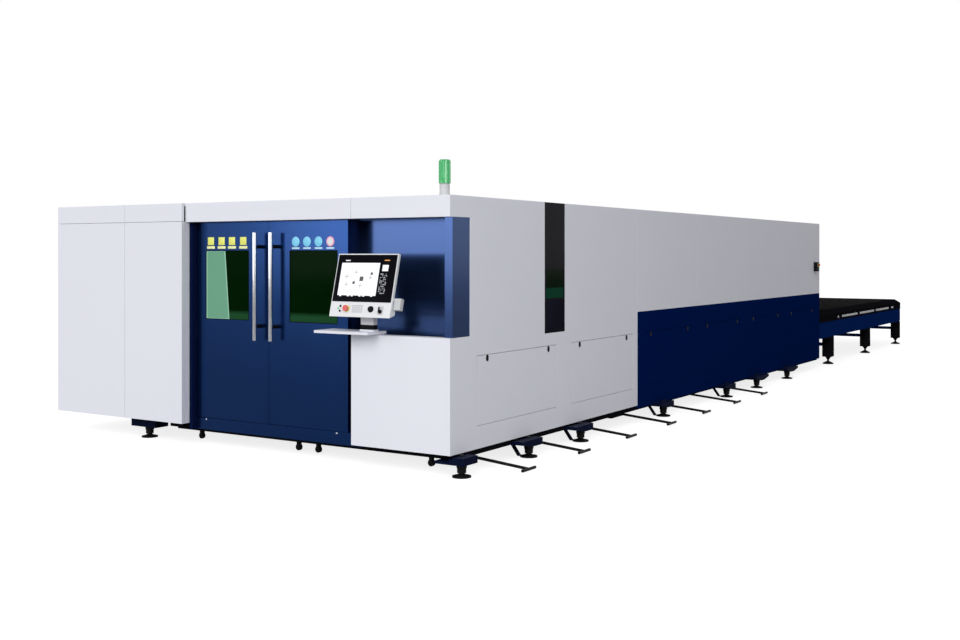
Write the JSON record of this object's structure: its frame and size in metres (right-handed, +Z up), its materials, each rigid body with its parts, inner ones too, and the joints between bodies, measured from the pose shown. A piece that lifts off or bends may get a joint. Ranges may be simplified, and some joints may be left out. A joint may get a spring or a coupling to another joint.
{
  "type": "fibre laser cutting machine",
  "caption": "Enclosed sheet laser cutter with sliding doors, swivelling console, side covers, pull-out scrap carts and a two-level pallet exchange table.",
  "frame": {"origin": "middle of the footprint, on the floor under the levelling feet", "axes": "+X to the operator's right, +Y from the front doors back to the exchange table, +Z up"},
  "size_m": [5.126, 16.28, 2.535],
  "materials": {
    "white_paint": "smooth satin powder coat",
    "blue_paint": "satin powder coat, deep blue",
    "navy_paint": "satin powder coat, darker blue",
    "black_paint": "satin black paint on welded steel",
    "black_steel": "black finish on steel",
    "dark_frame": "dark satin paint",
    "grey_case": "fine textured light grey",
    "black_gloss": "glossy black strip",
    "black_plastic": "moulded black",
    "white_plastic": "moulded light grey",
    "display_gloss": "flush glossy display cover",
    "red_plastic": "moulded red",
    "green_glass": "green laser-blocking pane",
    "green_lens": "clear green ribbed lens",
    "brushed_bar": "satin bar",
    "bright_steel": "machined",
    "dark_slat": "hot rolled, oiled and used",
    "alu_sheet": "folded sheet",
    "alu_cast": "painted aluminium casting"
  },
  "bodies": {
    "machine": {"base_frame": "black_paint", "bed_side_beams": "black_paint", "cabinet_front": "white_paint", "cabinet_walls": "white_paint", "console_base": "black_plastic", "console_cabinet": "white_paint", "console_shelf": "white_paint", "control_box": "grey_case", "cover_latches": "black_plastic", "door_frame": "dark_frame", "exchange_frame": "navy_paint", "exchange_legs": "black_paint", "foot_brackets": "black_paint", "front_access_covers": "white_paint", "front_fascia": "white_paint", "front_side_panels": "white_paint", "gantry_rails": "bright_steel", "kick_panel": "blue_paint", "laser_source": "grey_case", "levelling_feet": "black_steel", "lower_panels": "navy_paint", "niche_panel": "blue_paint", "pallet_rails": "bright_steel", "rear_access_covers": "navy_paint", "roof_panels": "white_paint", "side_guards": "black_paint", "side_window_frame": "black_gloss", "side_window_glass": "green_glass", "tower_base": "grey_case", "tower_lens": "green_lens", "upper_panels": "white_paint"},
    "leaf_left": {"door_left": "blue_paint", "window_left": "green_glass", "handle_left": "brushed_bar"},
    "leaf_right": {"door_right": "blue_paint", "window_right": "green_glass", "handle_right": "brushed_bar"},
    "shutter": {"rear_shutter": "alu_sheet"},
    "gantry": {"gantry_beam": "alu_cast"},
    "carriage": {"cross_carriage": "alu_cast"},
    "head": {"cutting_head": "bright_steel"},
    "pallet_upper": {"upper_pallet_frame": "black_paint", "upper_pallet_slats": "dark_slat"},
    "pallet_lower": {"lower_pallet_frame": "black_paint", "lower_pallet_slats": "dark_slat"},
    "console": {"console_neck": "white_plastic", "console_housing": "white_plastic", "console_back": "black_plastic", "display_panel": "display_gloss", "side_module": "white_plastic"},
    "e_stop": {"e_stop_button": "red_plastic"},
    "knob": {"override_knob": "black_plastic"},
    "lever": {"joystick": "black_plastic"},
    "side_e_stop": {"rear_e_stop": "red_plastic"},
    "cart_1": {"scrap_cart_1": "black_steel"},
    "cart_2": {"scrap_cart_2": "black_steel"},
    "cart_3": {"scrap_cart_3": "black_steel"},
    "cart_4": {"scrap_cart_4": "black_steel"},
    "cart_5": {"scrap_cart_5": "black_steel"},
    "cart_6": {"scrap_cart_6": "black_steel"},
    "cart_7": {"scrap_cart_7": "black_steel"}
  },
  "joints": [
    {"name": "left_door_slide", "type": "slide", "parent": "machine", "child": "leaf_left", "axis": [-1, 0, 0], "range_m": [0, 0.62]},
    {"name": "right_door_slide", "type": "slide", "parent": "machine", "child": "leaf_right", "axis": [1, 0, 0], "range_m": [0, 0.62]},
    {"name": "shutter_lift", "type": "slide", "parent": "machine", "child": "shutter", "axis": [0, 0, 1], "range_m": [0, 0.33]},
    {"name": "gantry_travel", "type": "slide", "parent": "machine", "child": "gantry", "axis": [0, 1, 0], "range_m": [0, 6.8]},
    {"name": "carriage_travel", "type": "slide", "parent": "gantry", "child": "carriage", "axis": [1, 0, 0], "range_m": [-1.25, 1.25]},
    {"name": "head_lift", "type": "slide", "parent": "carriage", "child": "head", "axis": [0, 0, 1], "range_m": [-0.235, 0]},
    {"name": "upper_pallet_travel", "type": "slide", "parent": "machine", "child": "pallet_upper", "axis": [0, -1, 0], "range_m": [0, 7.85]},
    {"name": "lower_pallet_travel", "type": "slide", "parent": "machine", "child": "pallet_lower", "axis": [0, 1, 0], "range_m": [0, 7.85]},
    {"name": "console_swivel", "type": "hinge", "parent": "machine", "child": "console", "pos_m": [1.373, -7.95, 1.196], "axis": [0, 0, 1], "range_deg": [-15, 15]},
    {"name": "e_stop_press", "type": "slide", "parent": "console", "child": "e_stop", "axis": [0, 0.9694, -0.2453], "range_m": [0, 0.004]},
    {"name": "override_turn", "type": "hinge", "parent": "console", "child": "knob", "pos_m": [1.515, -8.10866, 1.33392], "axis": [0, -0.9694, 0.2453], "range_deg": [-135, 135]},
    {"name": "joystick_turn", "type": "hinge", "parent": "console", "child": "lever", "pos_m": [1.612, -8.11308, 1.31647], "axis": [0, -0.9694, 0.2453], "range_deg": [-35, 35], "stiffness_Nm_per_rad": 0.1},
    {"name": "side_e_stop_press", "type": "slide", "parent": "machine", "child": "side_e_stop", "axis": [-1, 0, 0], "range_m": [0, 0.004]},
    {"name": "cart_1_pull", "type": "slide", "parent": "machine", "child": "cart_1", "axis": [1, 0, 0], "range_m": [0, 2.7]},
    {"name": "cart_2_pull", "type": "slide", "parent": "machine", "child": "cart_2", "axis": [1, 0, 0], "range_m": [0, 2.7]},
    {"name": "cart_3_pull", "type": "slide", "parent": "machine", "child": "cart_3", "axis": [1, 0, 0], "range_m": [0, 2.7]},
    {"name": "cart_4_pull", "type": "slide", "parent": "machine", "child": "cart_4", "axis": [1, 0, 0], "range_m": [0, 2.7]},
    {"name": "cart_5_pull", "type": "slide", "parent": "machine", "child": "cart_5", "axis": [1, 0, 0], "range_m": [0, 2.7]},
    {"name": "cart_6_pull", "type": "slide", "parent": "machine", "child": "cart_6", "axis": [1, 0, 0], "range_m": [0, 2.7]},
    {"name": "cart_7_pull", "type": "slide", "parent": "machine", "child": "cart_7", "axis": [1, 0, 0], "range_m": [0, 2.7]}
  ],
  "couplings": [
    {"joint": "lower_pallet_travel", "follows": "upper_pallet_travel", "ratio": 1}
  ]
}
